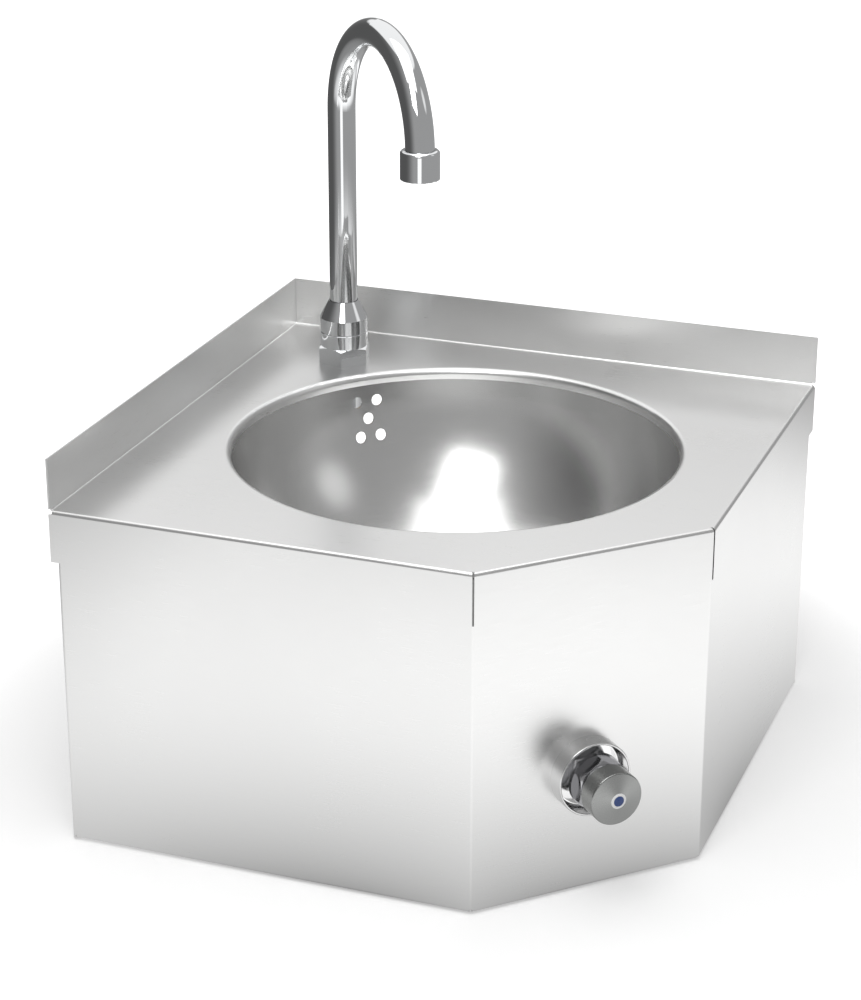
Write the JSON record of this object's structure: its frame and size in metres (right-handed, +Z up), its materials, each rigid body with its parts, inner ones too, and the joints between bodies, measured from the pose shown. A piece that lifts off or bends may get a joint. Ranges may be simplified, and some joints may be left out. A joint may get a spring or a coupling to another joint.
{
  "type": "wall corner hand wash basin",
  "caption": "Stainless corner hand wash basin with a pressed round bowl, wall upstands, swivel swan-neck spout and front push valve.",
  "frame": {"origin": "the corner line of the two walls, at the height of the deck's top face", "axes": "+Z up; the back wall is the plane y = 0 and the left wall the plane x = 0, so the basin stands out towards +X and -Y"},
  "size_m": [0.4, 0.4, 0.495],
  "materials": {
    "satin_steel": "satin stainless sheet, fine even brushing",
    "fixing_steel": "plain stainless, drawn or turned",
    "chrome": "polished chrome plate",
    "satin_chrome": "satin chrome plate, fine turned marks",
    "brass": "turned brass",
    "seal_rubber": "black moulded rubber",
    "grey_plastic": "moulded plastic",
    "white_mark": "white inlay",
    "blue_mark": "blue inlay"
  },
  "bodies": {
    "basin": {"deck_top": "satin_steel", "bowl": "satin_steel", "skirt": "satin_steel", "wall_cleat_left": "fixing_steel", "wall_cleat_back": "fixing_steel", "flange_screws": "fixing_steel", "waste_grid": "satin_steel", "waste_screw": "fixing_steel", "waste_seal_top": "seal_rubber", "waste_seal_bottom": "seal_rubber", "waste_cup": "grey_plastic", "tap_base": "chrome", "tap_collar": "chrome", "tap_seal": "seal_rubber", "tap_rubber_washer": "seal_rubber", "tap_steel_washer": "fixing_steel", "tap_locknut": "brass", "escutcheon": "chrome", "mounting_nut": "chrome", "valve_body": "brass", "panel_gasket": "seal_rubber", "bonnet": "chrome", "cartridge": "grey_plastic", "inlet_filter": "fixing_steel", "return_spring": "fixing_steel", "feed_pipe": "fixing_steel", "feed_nuts": "brass", "feed_olives": "brass"},
    "spout": {"spout_tube": "chrome", "spout_end": "brass", "spout_orings": "seal_rubber", "nozzle_shell": "chrome", "nozzle_washer": "seal_rubber", "aerator": "grey_plastic"},
    "button": {"button_cap": "satin_chrome", "button_ring": "white_mark", "button_dot": "blue_mark", "button_stem": "brass", "stem_seal": "seal_rubber"}
  },
  "joints": [
    {"name": "spout_swivel", "type": "hinge", "parent": "basin", "child": "spout", "pos_m": [0.0665, -0.0665, 0.026], "axis": [0, 0, 1], "range_deg": [-60, 60]},
    {"name": "button_push", "type": "slide", "parent": "basin", "child": "button", "axis": [-0.7071, 0.7071, 0], "range_m": [0, 0.004], "stiffness_N_per_m": 2500, "springref_m": -0.004, "deforming": ["return_spring"]}
  ]
}
